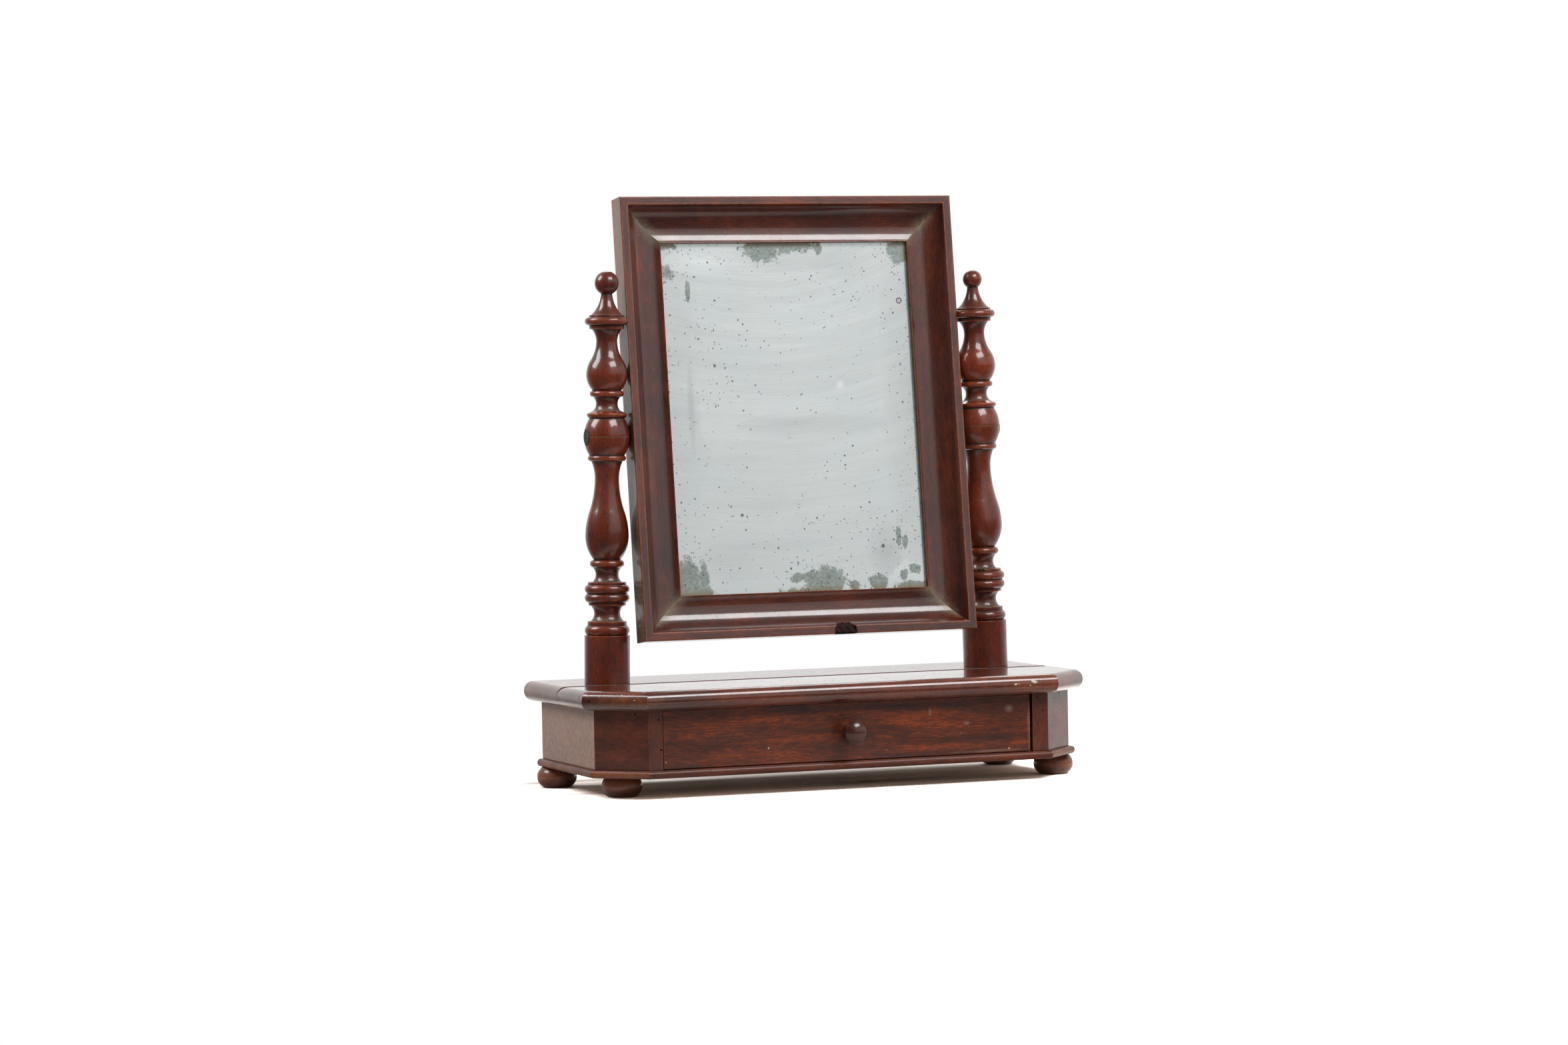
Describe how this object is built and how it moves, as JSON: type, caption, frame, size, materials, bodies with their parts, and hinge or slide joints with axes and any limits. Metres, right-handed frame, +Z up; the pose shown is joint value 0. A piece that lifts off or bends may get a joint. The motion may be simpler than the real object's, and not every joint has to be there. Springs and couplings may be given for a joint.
{
  "type": "table mirror with drawer",
  "caption": "Swing mirror in a coved frame between turned columns, on a low box base with canted front corners, a drawer with a turned knob, and bun feet.",
  "frame": {"origin": "on the ground, at the middle of the whole object's box, drawer shut and knob included", "axes": "+X to the viewer's right, -Y the front with the drawer, +Z up"},
  "size_m": [0.5532, 0.2466, 0.6094],
  "materials": {
    "mahogany_top": "french polished, worn at the edges",
    "mahogany_panels": "french polished, worn at the edges",
    "mahogany_drawer": "french polished, figured grain",
    "mahogany_moulding": "french polished, dusty",
    "mahogany_turned": "french polished, glossy",
    "mahogany_frame": "french polished, glossy",
    "pine_inside": "bare",
    "pine_backboard": "bare, darkened",
    "silvered_glass": "old silvering, hazy and spotted",
    "iron_screw": "dark, worn"
  },
  "bodies": {
    "base": {"top_board_front": "mahogany_top", "top_board_rear": "mahogany_top", "side_panel_left": "mahogany_panels", "side_panel_right": "mahogany_panels", "corner_panel_left": "mahogany_panels", "corner_panel_right": "mahogany_panels", "front_stile_left": "mahogany_panels", "front_stile_right": "mahogany_panels", "plinth_moulding_front": "mahogany_moulding", "plinth_moulding_corner_left": "mahogany_moulding", "plinth_moulding_corner_right": "mahogany_moulding", "plinth_moulding_side_left": "mahogany_moulding", "plinth_moulding_side_right": "mahogany_moulding", "column_left": "mahogany_turned", "column_right": "mahogany_turned", "foot_front_left": "mahogany_turned", "foot_front_right": "mahogany_turned", "foot_rear_left": "mahogany_turned", "foot_rear_right": "mahogany_turned", "back_panel": "pine_inside", "bottom_board": "pine_inside", "drawer_guide_left": "pine_inside", "drawer_guide_right": "pine_inside", "drawer_stop_left": "pine_inside", "drawer_stop_right": "pine_inside", "glue_block_left": "pine_inside", "glue_block_right": "pine_inside"},
    "mirror_frame": {"frame_rail_top": "mahogany_frame", "frame_rail_bottom": "mahogany_frame", "frame_stile_left": "mahogany_frame", "frame_stile_right": "mahogany_frame", "mirror_glass": "silvered_glass", "mirror_backboard": "pine_backboard", "pivot_screw_left": "iron_screw", "pivot_screw_right": "iron_screw"},
    "drawer": {"drawer_front": "mahogany_drawer", "drawer_side_left": "pine_inside", "drawer_side_right": "pine_inside", "drawer_back": "pine_inside", "drawer_bottom": "pine_inside", "drawer_knob": "mahogany_turned"}
  },
  "joints": [
    {"name": "mirror_tilt", "type": "hinge", "parent": "base", "child": "mirror_frame", "pos_m": [0, 0.0437, 0.3627], "axis": [1, 0, 0], "continuous": true},
    {"name": "drawer_slide", "type": "slide", "parent": "base", "child": "drawer", "axis": [0, -1, 0], "range_m": [0, 0.15]}
  ]
}
